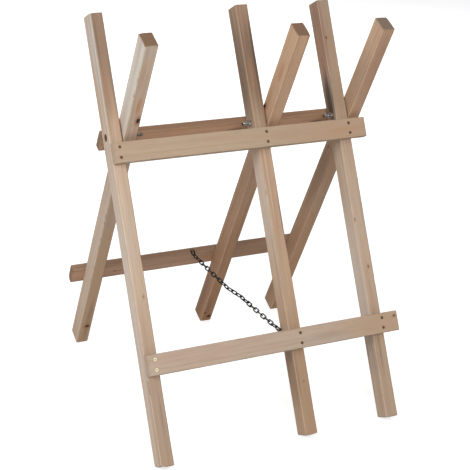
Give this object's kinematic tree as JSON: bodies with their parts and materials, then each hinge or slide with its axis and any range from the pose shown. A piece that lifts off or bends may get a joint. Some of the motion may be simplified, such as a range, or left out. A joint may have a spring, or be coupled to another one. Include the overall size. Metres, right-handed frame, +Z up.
{
  "type": "folding sawhorse",
  "caption": "Folding log sawhorse: two timber frames crossed in an X and bolted together, upper ends forming a V-shaped log bed, a chain between the lower rails stopping the spread.",
  "frame": {"origin": "on the floor, at the middle of the whole object's bounding box with the legs spread as they stand", "axes": "+X along the rails from the recessed pivot's end to the bolt heads' end, +Y towards the rear frame's feet, +Z up"},
  "size_m": [0.671, 0.731, 0.9551],
  "materials": {
    "front_timber": "planed softwood, pale pinkish beige, untreated",
    "rear_timber": "planed softwood, a little browner, untreated",
    "zinc_hardware": "dull zinc-plated bolts, nuts and washers",
    "brown_screws": "dark bronzed wood screws",
    "bright_screws": "yellow zinc-plated wood screws",
    "chain_steel": "dark grey welded steel chain"
  },
  "bodies": {
    "front_frame": {"front_leg_left": "front_timber", "front_leg_middle": "front_timber", "front_leg_right": "front_timber", "front_rail_top": "front_timber", "front_rail_bottom": "front_timber", "screws_front_top": "brown_screws", "screws_front_bottom": "brown_screws", "screws_front_bottom_bright": "bright_screws", "pivot_bolt_left": "zinc_hardware", "pivot_bolt_middle": "zinc_hardware", "pivot_bolt_right": "zinc_hardware", "pivot_nut_left": "zinc_hardware", "pivot_nut_middle": "zinc_hardware", "pivot_nut_right": "zinc_hardware", "pivot_nut_washers": "zinc_hardware", "pivot_head_washers": "zinc_hardware", "pivot_spacer_washers": "zinc_hardware", "chain_front_screw": "brown_screws"},
    "rear_frame": {"rear_leg_left": "rear_timber", "rear_leg_middle": "rear_timber", "rear_leg_right": "rear_timber", "rear_rail_top": "rear_timber", "rear_rail_bottom": "rear_timber", "screws_rear_top": "brown_screws", "screws_rear_bottom": "brown_screws", "chain_rear_screw": "brown_screws", "chain_end_link": "chain_steel"},
    "chain_rear": {"chain_rear_strand": "chain_steel"},
    "chain_link_rear": {"chain_middle_rear": "chain_steel"},
    "chain_link_mid": {"chain_middle_centre": "chain_steel"},
    "chain_link_front": {"chain_middle_front": "chain_steel"},
    "chain_front": {"chain_front_strand": "chain_steel"}
  },
  "joints": [
    {"name": "fold", "type": "hinge", "parent": "front_frame", "child": "rear_frame", "pos_m": [0, 0, 0.68871], "axis": [-1, 0, 0], "range_deg": [0, 53.5]},
    {"name": "chain_front_swing", "type": "hinge", "parent": "front_frame", "child": "chain_front", "pos_m": [0.03053, -0.21523, 0.23216], "axis": [-1, 0, 0], "range_deg": [0, 129]},
    {"name": "chain_link_front_turn", "type": "hinge", "parent": "chain_front", "child": "chain_link_front", "pos_m": [0.02353, -0.01783, 0.23486], "axis": [1, 0, 0], "range_deg": [0, 48]},
    {"name": "chain_link_mid_turn", "type": "hinge", "parent": "chain_link_front", "child": "chain_link_mid", "pos_m": [0.01986, 0.00354, 0.23565], "axis": [1, 0, 0], "range_deg": [0, 56]},
    {"name": "chain_link_rear_turn", "type": "hinge", "parent": "chain_link_mid", "child": "chain_link_rear", "pos_m": [0.01619, 0.01798, 0.23624], "axis": [1, 0, 0], "range_deg": [0, 56]},
    {"name": "chain_rear_swing", "type": "hinge", "parent": "rear_frame", "child": "chain_rear", "pos_m": [0.00553, 0.23671, 0.25057], "axis": [1, 0, 0], "range_deg": [0, 113]}
  ],
  "couplings": [
    {"joint": "chain_front_swing", "follows": "fold", "ratio": 2.4092},
    {"joint": "chain_link_front_turn", "follows": "fold", "ratio": 0.89302},
    {"joint": "chain_link_mid_turn", "follows": "fold", "ratio": 1.0427},
    {"joint": "chain_link_rear_turn", "follows": "fold", "ratio": 1.0427},
    {"joint": "chain_rear_swing", "follows": "fold", "ratio": 2.1019}
  ]
}
